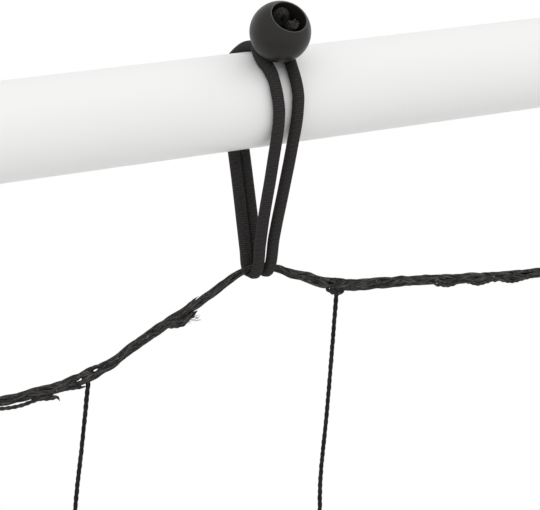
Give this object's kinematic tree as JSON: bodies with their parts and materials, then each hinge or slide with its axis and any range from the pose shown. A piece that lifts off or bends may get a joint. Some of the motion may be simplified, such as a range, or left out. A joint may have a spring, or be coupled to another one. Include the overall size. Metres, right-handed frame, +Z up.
{
  "type": "volleyball net",
  "caption": "Free-standing steel portal with telescopic poles and a top rail; a black square-mesh net hangs from it on ball-ended elastic ties.",
  "frame": {"origin": "on the ground, midway between the poles", "axes": "+X along the top rail, -Y towards the side that the balls of the ties face, +Z up"},
  "size_m": [3.0978, 0.9, 2.2719],
  "materials": {
    "white_powder_coat": "smooth semi-gloss powder coat on steel tube",
    "black_plastic": "moulded, fine matt grain",
    "elastic_cord": "braided sheath over rubber strands",
    "net_rope": "twisted and braided polyethylene, slight sheen",
    "zinc_steel": "bright zinc plate"
  },
  "bodies": {
    "base": {"foot_bar_left": "white_powder_coat", "foot_bar_right": "white_powder_coat", "foot_cap_left_front": "black_plastic", "foot_cap_left_back": "black_plastic", "foot_cap_right_front": "black_plastic", "foot_cap_right_back": "black_plastic", "pole_socket_left": "white_powder_coat", "pole_socket_right": "white_powder_coat", "lower_pole_left": "white_powder_coat", "lower_pole_right": "white_powder_coat", "clamp_collar_left": "black_plastic", "clamp_collar_right": "black_plastic", "clamp_bolt_left": "zinc_steel", "clamp_bolt_right": "zinc_steel", "clamp_pin_left": "zinc_steel", "clamp_pin_right": "zinc_steel"},
    "upper_frame": {"upper_pole_left": "white_powder_coat", "upper_pole_right": "white_powder_coat", "top_rail_left": "white_powder_coat", "top_rail_right": "white_powder_coat", "net": "net_rope", "head_rope": "net_rope", "foot_rope": "net_rope", "side_rope_left": "net_rope", "side_rope_right": "net_rope", "tie_ball_left_1": "black_plastic", "tie_cord_left_1": "elastic_cord", "tie_ball_left_2": "black_plastic", "tie_cord_left_2": "elastic_cord", "tie_ball_right_1": "black_plastic", "tie_cord_right_1": "elastic_cord", "tie_ball_right_2": "black_plastic", "tie_cord_right_2": "elastic_cord", "tie_ball_top_1": "black_plastic", "tie_cord_top_1": "elastic_cord", "tie_ball_top_2": "black_plastic", "tie_cord_top_2": "elastic_cord", "tie_ball_top_3": "black_plastic", "tie_cord_top_3": "elastic_cord", "tie_ball_top_4": "black_plastic", "tie_cord_top_4": "elastic_cord", "tie_ball_top_5": "black_plastic", "tie_cord_top_5": "elastic_cord", "tie_ball_top_6": "black_plastic", "tie_cord_top_6": "elastic_cord", "tie_ball_top_7": "black_plastic", "tie_cord_top_7": "elastic_cord"},
    "lever_left": {"clamp_lever_left": "black_plastic"},
    "lever_right": {"clamp_lever_right": "black_plastic"},
    "button_foot_left": {"snap_button_foot_left": "zinc_steel"},
    "button_foot_right": {"snap_button_foot_right": "zinc_steel"},
    "button_corner_left": {"snap_button_corner_left": "zinc_steel"},
    "button_corner_right": {"snap_button_corner_right": "zinc_steel"},
    "button_rail": {"snap_button_rail": "zinc_steel"}
  },
  "joints": [
    {"name": "pole_height", "type": "slide", "parent": "base", "child": "upper_frame", "axis": [0, 0, 1], "range_m": [-0.4, 0]},
    {"name": "lever_left_turn", "type": "hinge", "parent": "base", "child": "lever_left", "pos_m": [-1.5246, -0.036, 0.782], "axis": [0, 0, 1], "range_deg": [0, 120]},
    {"name": "lever_right_turn", "type": "hinge", "parent": "base", "child": "lever_right", "pos_m": [1.5246, -0.036, 0.782], "axis": [0, 0, 1], "range_deg": [-120, 0]},
    {"name": "button_foot_left_press", "type": "slide", "parent": "base", "child": "button_foot_left", "axis": [1, 0, 0], "range_m": [0, 0.0075], "stiffness_N_per_m": 1200},
    {"name": "button_foot_right_press", "type": "slide", "parent": "base", "child": "button_foot_right", "axis": [-1, 0, 0], "range_m": [0, 0.0075], "stiffness_N_per_m": 1200},
    {"name": "button_corner_left_press", "type": "slide", "parent": "upper_frame", "child": "button_corner_left", "axis": [0, -1, 0], "range_m": [0, 0.0065], "stiffness_N_per_m": 1200},
    {"name": "button_corner_right_press", "type": "slide", "parent": "upper_frame", "child": "button_corner_right", "axis": [0, -1, 0], "range_m": [0, 0.0065], "stiffness_N_per_m": 1200},
    {"name": "button_rail_press", "type": "slide", "parent": "upper_frame", "child": "button_rail", "axis": [0, -1, 0], "range_m": [0, 0.0065], "stiffness_N_per_m": 1200}
  ]
}
